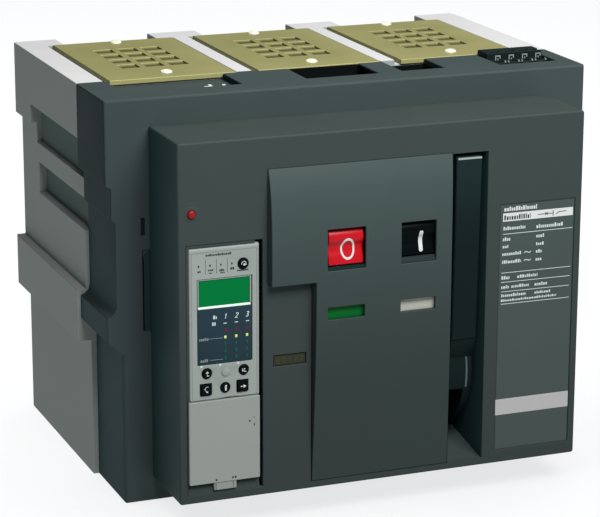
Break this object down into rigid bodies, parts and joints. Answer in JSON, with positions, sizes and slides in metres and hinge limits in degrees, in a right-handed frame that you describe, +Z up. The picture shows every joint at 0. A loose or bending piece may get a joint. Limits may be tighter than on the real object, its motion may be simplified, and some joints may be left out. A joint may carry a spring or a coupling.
{
  "type": "air circuit breaker",
  "caption": "Three-pole fixed air circuit breaker: grey case with rear terminals, dark front with charging handle, on and off buttons, indicators and electronic trip unit.",
  "frame": {"origin": "point on the base face, on the centre plane, 24 mm behind the joint between the front frame and the rear case", "axes": "+X to the right seen from the front, +Y towards the rear terminals, +Z up; the front faces -Y"},
  "size_m": [0.3814, 0.316, 0.3045],
  "materials": {
    "case_plastic": "moulded glass-filled polyester, light grey, fine matt grain",
    "frame_plastic": "dark blue-grey moulded thermoplastic, satin",
    "fascia_plastic": "dark grey moulded thermoplastic, fine spark texture",
    "panel_plastic": "mid grey moulded thermoplastic, fine spark texture",
    "plate_film": "printed polyester film, satin",
    "cover_metal": "olive bronze passivated sheet steel",
    "steel": "zinc-plated steel",
    "dark_steel": "phosphated steel",
    "spring_steel": "oiled spring steel",
    "chute_board": "vulcanised fibre cheeks with steel plates",
    "copper": "bare copper, silver-faced",
    "coil_resin": "black encapsulating resin",
    "handle_plastic": "near-black glass-filled nylon",
    "red_plastic": "signal red moulded plastic",
    "black_plastic": "black moulded plastic",
    "green_flag": "green indicator drum",
    "white_flag": "off-white indicator drum",
    "counter_plastic": "dark olive counter",
    "trip_plastic": "mid grey moulded plastic",
    "trip_cover_plastic": "light grey moulded plastic",
    "screen": "green liquid crystal display",
    "key_plastic": "black moulded keys"
  },
  "bodies": {
    "breaker_body": {"rear_case": "case_plastic", "front_frame": "frame_plastic", "front_fascia": "fascia_plastic", "center_panel": "panel_plastic", "rating_plate": "plate_film", "arc_chute_cover_left": "cover_metal", "cover_screw_front_left": "steel", "cover_screw_rear_left": "steel", "arc_chute_left": "chute_board", "line_terminal_left": "copper", "load_terminal_left": "copper", "current_transformer_left": "coil_resin", "arc_chute_cover_centre": "cover_metal", "cover_screw_front_centre": "steel", "cover_screw_rear_centre": "steel", "arc_chute_centre": "chute_board", "line_terminal_centre": "copper", "load_terminal_centre": "copper", "current_transformer_centre": "coil_resin", "arc_chute_cover_right": "cover_metal", "cover_screw_front_right": "steel", "cover_screw_rear_right": "steel", "arc_chute_right": "chute_board", "line_terminal_right": "copper", "load_terminal_right": "copper", "current_transformer_right": "coil_resin", "mechanism_frame": "dark_steel", "closing_spring": "spring_steel", "operation_counter": "counter_plastic", "shunt_trip_coil": "coil_resin", "closing_coil": "coil_resin", "trip_unit_body": "trip_plastic", "trip_unit_display": "screen", "aux_terminal_block": "black_plastic"},
    "moving_contact_left": {"moving_contact_left": "copper"},
    "drive_link_left": {"drive_link_left": "steel"},
    "moving_contact_centre": {"moving_contact_centre": "copper"},
    "drive_link_centre": {"drive_link_centre": "steel"},
    "moving_contact_right": {"moving_contact_right": "copper"},
    "drive_link_right": {"drive_link_right": "steel"},
    "pole_shaft": {"pole_shaft": "steel"},
    "cam_shaft": {"cam_shaft": "steel"},
    "spring_crosshead": {"spring_crosshead": "dark_steel"},
    "charging_handle": {"charging_handle": "handle_plastic"},
    "off_button": {"off_button": "red_plastic"},
    "on_button": {"on_button": "black_plastic"},
    "opening_latch_shaft": {"opening_latch_shaft": "dark_steel"},
    "closing_latch_shaft": {"closing_latch_shaft": "dark_steel"},
    "contact_flag": {"contact_flag": "green_flag"},
    "spring_flag": {"spring_flag": "white_flag"},
    "trip_reset_button": {"trip_reset_button": "red_plastic"},
    "shunt_trip_plunger": {"shunt_trip_plunger": "steel"},
    "closing_coil_plunger": {"closing_coil_plunger": "steel"},
    "trip_unit_cover": {"trip_unit_cover": "trip_cover_plastic"},
    "trip_test_key": {"trip_test_key": "key_plastic"},
    "trip_up_key": {"trip_up_key": "key_plastic"},
    "trip_down_key": {"trip_down_key": "key_plastic"},
    "trip_menu_key": {"trip_menu_key": "key_plastic"},
    "trip_info_key": {"trip_info_key": "key_plastic"},
    "trip_enter_key": {"trip_enter_key": "key_plastic"}
  },
  "joints": [
    {"name": "pole_shaft_turn", "type": "hinge", "parent": "breaker_body", "child": "pole_shaft", "pos_m": [0, -0.045, 0.12], "axis": [-1, 0, 0], "range_deg": [0, 35], "stiffness_Nm_per_rad": 6, "springref_deg": -28.65},
    {"name": "drive_link_left_swing", "type": "hinge", "parent": "pole_shaft", "child": "drive_link_left", "pos_m": [-0.115, -0.05319, 0.14678], "axis": [-1, 0, 0], "range_deg": [-37, 0]},
    {"name": "moving_contact_left_swing", "type": "hinge", "parent": "breaker_body", "child": "moving_contact_left", "pos_m": [-0.115, 0.052, 0.088], "axis": [-1, 0, 0], "range_deg": [0, 24]},
    {"name": "drive_link_centre_swing", "type": "hinge", "parent": "pole_shaft", "child": "drive_link_centre", "pos_m": [0, -0.05319, 0.14678], "axis": [-1, 0, 0], "range_deg": [-37, 0]},
    {"name": "moving_contact_centre_swing", "type": "hinge", "parent": "breaker_body", "child": "moving_contact_centre", "pos_m": [0, 0.052, 0.088], "axis": [-1, 0, 0], "range_deg": [0, 24]},
    {"name": "drive_link_right_swing", "type": "hinge", "parent": "pole_shaft", "child": "drive_link_right", "pos_m": [0.115, -0.05319, 0.14678], "axis": [-1, 0, 0], "range_deg": [-37, 0]},
    {"name": "moving_contact_right_swing", "type": "hinge", "parent": "breaker_body", "child": "moving_contact_right", "pos_m": [0.115, 0.052, 0.088], "axis": [-1, 0, 0], "range_deg": [0, 24]},
    {"name": "cam_shaft_turn", "type": "hinge", "parent": "breaker_body", "child": "cam_shaft", "pos_m": [0, -0.091, 0.088], "axis": [1, 0, 0], "range_deg": [0, 180]},
    {"name": "charging_handle_pull", "type": "hinge", "parent": "breaker_body", "child": "charging_handle", "pos_m": [0.0654, -0.091, 0.088], "axis": [1, 0, 0], "range_deg": [0, 85], "stiffness_Nm_per_rad": 0.5, "springref_deg": -34.38},
    {"name": "spring_crosshead_lift", "type": "slide", "parent": "breaker_body", "child": "spring_crosshead", "axis": [0, 0, 1], "range_m": [0, 0.03], "stiffness_N_per_m": 1500, "springref_m": -0.02, "deforming": ["closing_spring"]},
    {"name": "off_button_press", "type": "slide", "parent": "breaker_body", "child": "off_button", "axis": [0, 1, 0], "range_m": [0, 0.005], "stiffness_N_per_m": 400, "springref_m": -0.004},
    {"name": "on_button_press", "type": "slide", "parent": "breaker_body", "child": "on_button", "axis": [0, 1, 0], "range_m": [0, 0.005], "stiffness_N_per_m": 400, "springref_m": -0.004},
    {"name": "opening_latch_turn", "type": "hinge", "parent": "breaker_body", "child": "opening_latch_shaft", "pos_m": [-0.0225, -0.106, 0.178], "axis": [-1, 0, 0], "range_deg": [0, 14.7]},
    {"name": "closing_latch_turn", "type": "hinge", "parent": "breaker_body", "child": "closing_latch_shaft", "pos_m": [0.021, -0.106, 0.178], "axis": [-1, 0, 0], "range_deg": [0, 14.7]},
    {"name": "contact_flag_turn", "type": "hinge", "parent": "breaker_body", "child": "contact_flag", "pos_m": [-0.033, -0.145, 0.1505], "axis": [-1, 0, 0], "range_deg": [0, 60]},
    {"name": "spring_flag_turn", "type": "hinge", "parent": "breaker_body", "child": "spring_flag", "pos_m": [0.0222, -0.145, 0.1505], "axis": [-1, 0, 0], "range_deg": [0, 60]},
    {"name": "trip_reset_press", "type": "slide", "parent": "breaker_body", "child": "trip_reset_button", "axis": [0, 1, 0], "range_m": [0, 0.004], "stiffness_N_per_m": 200, "springref_m": -0.003},
    {"name": "shunt_trip_plunger_slide", "type": "slide", "parent": "breaker_body", "child": "shunt_trip_plunger", "axis": [0, -1, 0], "range_m": [0, 0.005], "stiffness_N_per_m": 200, "springref_m": -0.004},
    {"name": "closing_coil_plunger_slide", "type": "slide", "parent": "breaker_body", "child": "closing_coil_plunger", "axis": [0, -1, 0], "range_m": [0, 0.005], "stiffness_N_per_m": 200, "springref_m": -0.004},
    {"name": "trip_cover_swing", "type": "hinge", "parent": "breaker_body", "child": "trip_unit_cover", "pos_m": [-0.1498, -0.1566, 0.064], "axis": [0, 0, -1], "range_deg": [0, 110]},
    {"name": "trip_test_key_press", "type": "slide", "parent": "breaker_body", "child": "trip_test_key", "axis": [0, 1, 0], "range_m": [0, 0.0008], "stiffness_N_per_m": 300, "springref_m": -0.001},
    {"name": "trip_up_key_press", "type": "slide", "parent": "breaker_body", "child": "trip_up_key", "axis": [0, 1, 0], "range_m": [0, 0.0008], "stiffness_N_per_m": 300, "springref_m": -0.001},
    {"name": "trip_down_key_press", "type": "slide", "parent": "breaker_body", "child": "trip_down_key", "axis": [0, 1, 0], "range_m": [0, 0.0008], "stiffness_N_per_m": 300, "springref_m": -0.001},
    {"name": "trip_menu_key_press", "type": "slide", "parent": "breaker_body", "child": "trip_menu_key", "axis": [0, 1, 0], "range_m": [0, 0.0008], "stiffness_N_per_m": 300, "springref_m": -0.001},
    {"name": "trip_info_key_press", "type": "slide", "parent": "breaker_body", "child": "trip_info_key", "axis": [0, 1, 0], "range_m": [0, 0.0008], "stiffness_N_per_m": 300, "springref_m": -0.001},
    {"name": "trip_enter_key_press", "type": "slide", "parent": "breaker_body", "child": "trip_enter_key", "axis": [0, 1, 0], "range_m": [0, 0.0008], "stiffness_N_per_m": 300, "springref_m": -0.001}
  ],
  "couplings": [
    {"joint": "drive_link_left_swing", "follows": "pole_shaft_turn", "ratio": -1.057},
    {"joint": "moving_contact_left_swing", "follows": "pole_shaft_turn", "ratio": 0.685},
    {"joint": "drive_link_centre_swing", "follows": "pole_shaft_turn", "ratio": -1.057},
    {"joint": "moving_contact_centre_swing", "follows": "pole_shaft_turn", "ratio": 0.685},
    {"joint": "drive_link_right_swing", "follows": "pole_shaft_turn", "ratio": -1.057},
    {"joint": "moving_contact_right_swing", "follows": "pole_shaft_turn", "ratio": 0.685},
    {"joint": "cam_shaft_turn", "follows": "spring_crosshead_lift", "rad_per_m": 104.72},
    {"joint": "opening_latch_turn", "follows": "off_button_press", "rad_per_m": 51.3},
    {"joint": "closing_latch_turn", "follows": "on_button_press", "rad_per_m": 51.3},
    {"joint": "contact_flag_turn", "follows": "pole_shaft_turn", "ratio": 1.714},
    {"joint": "spring_flag_turn", "follows": "spring_crosshead_lift", "rad_per_m": 34.907}
  ]
}
